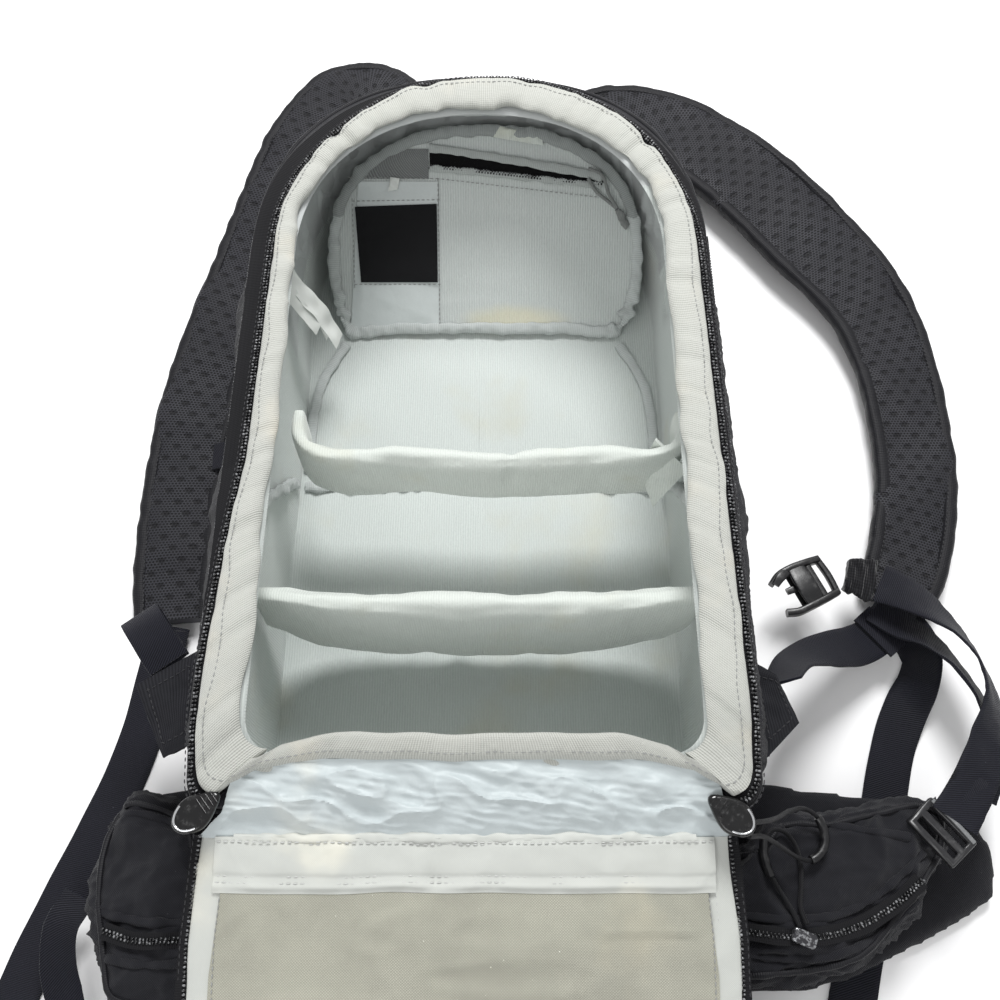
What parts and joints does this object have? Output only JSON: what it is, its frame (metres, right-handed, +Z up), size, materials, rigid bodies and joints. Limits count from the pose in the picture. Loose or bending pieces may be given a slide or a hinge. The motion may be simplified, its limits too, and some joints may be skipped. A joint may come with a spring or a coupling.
{
  "type": "camera backpack",
  "caption": "Padded camera backpack lying on its harness, lid unzipped and laid back, with divided pale-lined room, straps, hip belt pouches, webbing, buckle half and pull cords.",
  "frame": {"origin": "centre of the back pad's lower face, on which the bag rests", "axes": "+Z up out of the open bag, +Y toward the crown, the lid lies toward -Y"},
  "size_m": [0.6424, 1.1023, 0.1655],
  "materials": {
    "pack_cloth": "matte charcoal ribbed pack cloth",
    "loop_lining": "brushed loop lining",
    "zip_tape": "woven zip tape with coil teeth",
    "grosgrain": "ribbed off-white binding",
    "air_mesh": "spacer mesh over foam",
    "nylon_tape": "folded nylon seam binding",
    "pale_nylon": "pale pocket nylon",
    "black_mesh": "fine black mesh",
    "grey_cord": "braided grey cord",
    "white_nylon": "thin white coated nylon",
    "beige_mesh": "fine beige pocket mesh",
    "webbing": "ribbed flat webbing",
    "pale_plastic": "worn grey acetal",
    "black_plastic": "moulded black acetal",
    "elastic": "fuzzy woven elastic",
    "black_cord": "thin braided black cord"
  },
  "bodies": {
    "root": {"body_shell": "pack_cloth", "lining": "loop_lining", "rim_zip_tape": "zip_tape", "rim_binding": "grosgrain", "hinge_binding": "grosgrain", "back_pad": "air_mesh", "lumbar_pad": "air_mesh", "end_panel": "loop_lining", "end_panel_seam": "nylon_tape", "end_pocket": "pale_nylon", "mesh_window": "black_mesh", "end_zip": "zip_tape", "inner_pull_cord": "grey_cord", "inner_pull_knot": "grey_cord", "floor_seam_left": "nylon_tape", "floor_seam_right": "nylon_tape", "wall_seam_left": "nylon_tape", "wall_seam_right": "nylon_tape", "cross_seam": "nylon_tape", "divider_upper": "loop_lining", "divider_lower": "loop_lining", "care_tag": "white_nylon", "hinge_strip": "white_nylon", "lid_panel": "pack_cloth", "lid_zip_tape": "zip_tape", "lid_lining": "white_nylon", "lid_band": "white_nylon", "lid_mesh_pocket": "beige_mesh", "side_pocket_left": "pack_cloth", "side_pocket_right": "pack_cloth", "side_zip_left": "zip_tape", "side_zip_right": "zip_tape", "shoulder_strap_left": "air_mesh", "shoulder_strap_right": "air_mesh", "strap_webbing_left": "webbing", "strap_webbing_right": "webbing", "strap_tail_right": "webbing", "belt_webbing_top": "webbing", "belt_webbing_back": "webbing", "belt_webbing_left": "webbing", "side_link_left": "webbing", "strap_keeper": "webbing", "webbing_loop": "webbing", "side_tab_left": "pack_cloth", "side_tab_right": "pack_cloth", "belt_wing_right": "pack_cloth", "belt_wing_left": "pack_cloth", "belt_pouch_right": "pack_cloth", "belt_pouch_left": "pack_cloth", "pouch_zip_right": "zip_tape", "pouch_zip_left": "zip_tape", "pouch_slider": "pale_plastic", "ladder_lock": "pale_plastic", "buckle_half": "black_plastic", "elastic_keeper": "elastic", "slider_knob_left": "black_plastic", "slider_knob_right": "black_plastic", "main_pull_cord": "black_cord", "pouch_pull_cord": "black_cord"}
  },
  "joints": []
}
